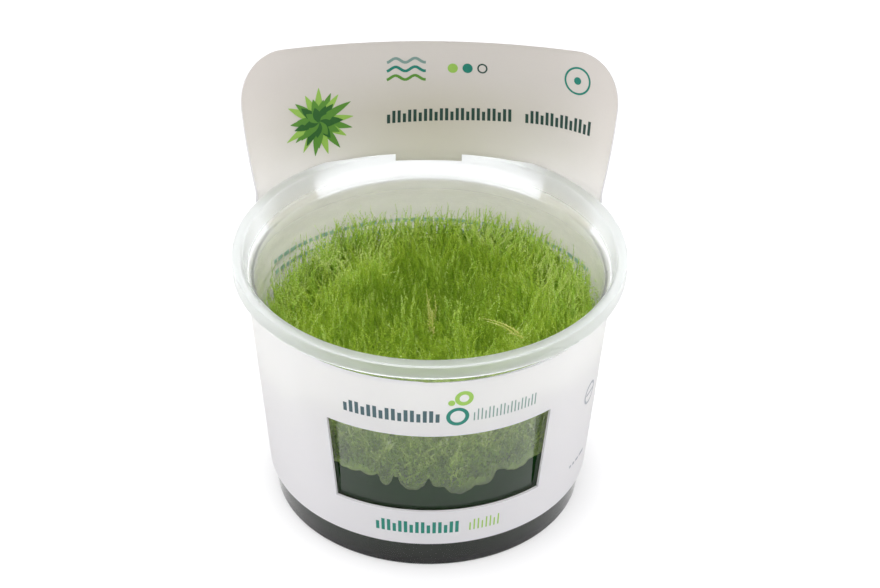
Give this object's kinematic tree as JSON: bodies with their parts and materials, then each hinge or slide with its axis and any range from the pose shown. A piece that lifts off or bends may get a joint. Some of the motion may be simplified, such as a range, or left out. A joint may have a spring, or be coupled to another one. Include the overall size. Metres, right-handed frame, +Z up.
{
  "type": "tissue culture moss cup",
  "caption": "Clear flanged cup of aquarium moss on dark growth gel, in a printed card sleeve with a front window and a tall header.",
  "frame": {"origin": "middle of the cup's underside, on the surface it stands on", "axes": "+Z up along the cup's axis, -Y towards the front with the window, +X to the viewer's right"},
  "size_m": [0.08, 0.08, 0.0832],
  "materials": {
    "clear_plastic": "clear, smooth moulded plastic",
    "white_card": "smooth white coated card with flat print",
    "dark_gel": "wet, dark olive brown jelly",
    "moss_green": "soft, matt, fine green shoots"
  },
  "bodies": {
    "root": {"cup": "clear_plastic", "card_sleeve": "white_card", "growth_gel": "dark_gel", "moss": "moss_green"}
  },
  "joints": []
}
